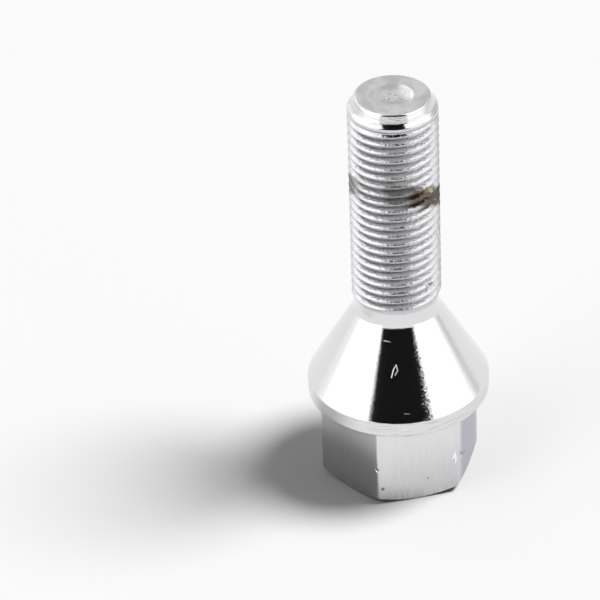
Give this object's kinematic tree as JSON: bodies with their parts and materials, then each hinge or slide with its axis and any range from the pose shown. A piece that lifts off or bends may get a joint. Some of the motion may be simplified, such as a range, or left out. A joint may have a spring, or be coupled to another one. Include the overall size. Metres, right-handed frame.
{
  "type": "lug bolt",
  "caption": "One-piece chromed lug bolt: chamfered hexagon head, round collar, conical seat, plain neck and right-hand threaded shank.",
  "frame": {"origin": "centre of the head's end face, which the bolt stands on", "axes": "+Z along the bolt's axis from the head to the threaded tip, +X square to one flat of the hexagon"},
  "size_m": [0.0284, 0.0284, 0.068],
  "materials": {
    "chrome": "polished chrome plate"
  },
  "bodies": {
    "root": {"lug_bolt": "chrome"}
  },
  "joints": []
}
